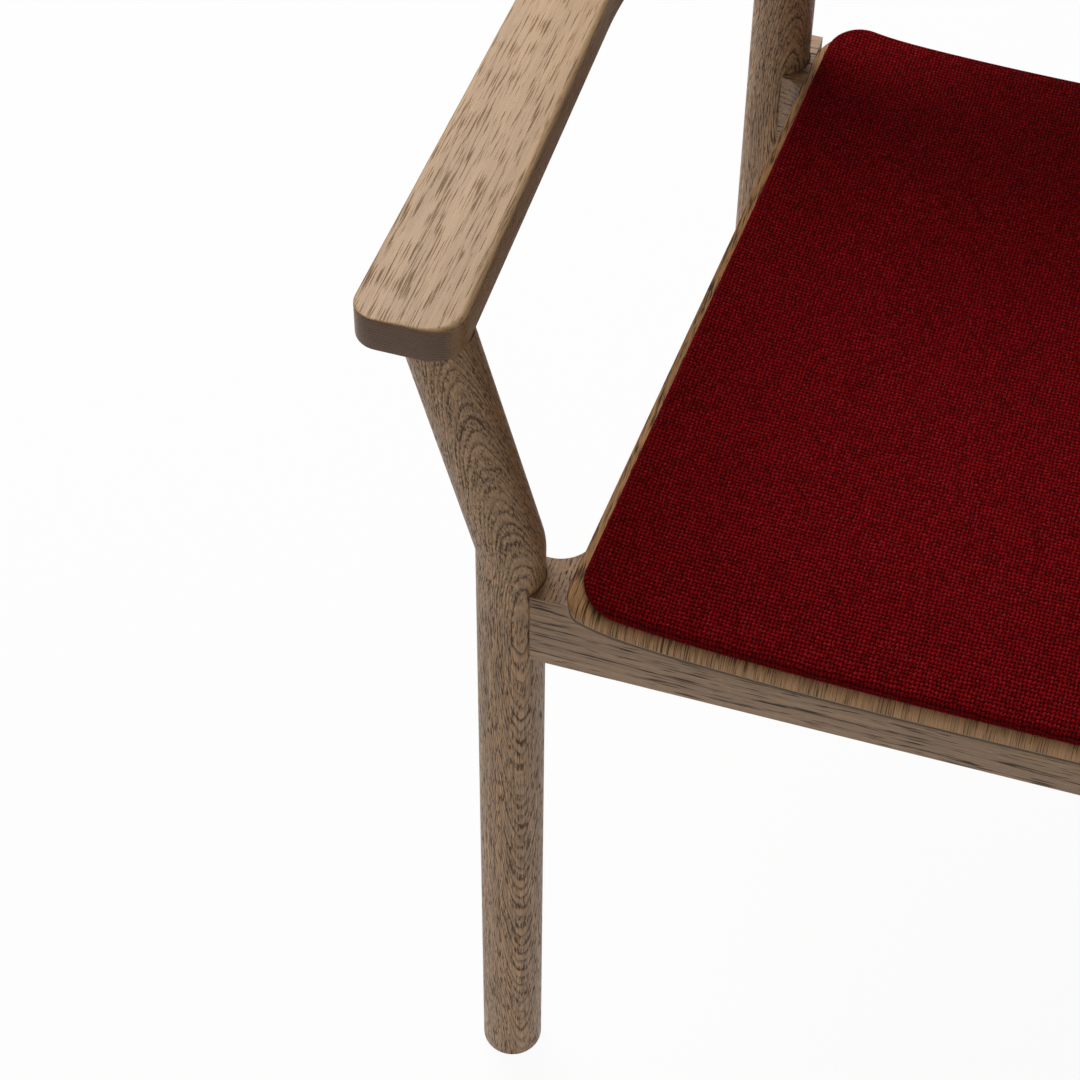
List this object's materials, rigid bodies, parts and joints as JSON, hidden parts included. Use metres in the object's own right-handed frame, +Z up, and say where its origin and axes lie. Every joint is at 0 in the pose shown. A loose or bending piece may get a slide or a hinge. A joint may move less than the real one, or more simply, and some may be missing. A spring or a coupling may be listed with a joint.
{
  "type": "upholstered armchair",
  "caption": "Armchair with round oak legs, flat horseshoe arms, a form-pressed seat and back shell and thin upholstered pads.",
  "frame": {"origin": "on the floor, under the middle of the chair", "axes": "+Z up, +Y towards the chair's back, +X to the right of someone who faces the chair; the chair is mirror-symmetric in X"},
  "size_m": [0.6408, 0.5538, 0.75],
  "materials": {
    "oak_legs": "smoked oak, oiled matt",
    "oak_rails": "smoked oak, oiled matt",
    "oak_arms": "smoked oak, oiled matt",
    "oak_veneer": "form-pressed oak veneer, oiled matt",
    "plywood": "raw plywood",
    "raw_wood": "raw beech",
    "red_wool": "plain-woven wool",
    "screw_steel": "zinc-plated",
    "glide_nylon": "matt nylon"
  },
  "bodies": {
    "root": {"front_leg_left": "oak_legs", "front_leg_right": "oak_legs", "rear_leg_left": "oak_legs", "rear_leg_right": "oak_legs", "front_rail": "oak_rails", "rear_rail": "oak_rails", "side_rail_left": "oak_rails", "side_rail_right": "oak_rails", "corner_block_front_left": "raw_wood", "corner_block_front_right": "raw_wood", "corner_block_rear_left": "raw_wood", "corner_block_rear_right": "raw_wood", "seat_shell": "oak_veneer", "pad_board": "plywood", "seat_pad": "red_wool", "arm_left": "oak_arms", "arm_right": "oak_arms", "back_bow": "oak_arms", "back_shell": "oak_veneer", "back_pad": "red_wool", "front_rail_dowels": "raw_wood", "rear_rail_dowels": "raw_wood", "side_rail_dowels": "raw_wood", "bow_dowels": "raw_wood", "corner_block_screws": "screw_steel", "shell_screws": "screw_steel", "pad_screws": "screw_steel", "back_screws": "screw_steel", "back_screw_plugs": "oak_arms", "glide_front_left": "glide_nylon", "glide_front_right": "glide_nylon", "glide_rear_left": "glide_nylon", "glide_rear_right": "glide_nylon"}
  },
  "joints": []
}
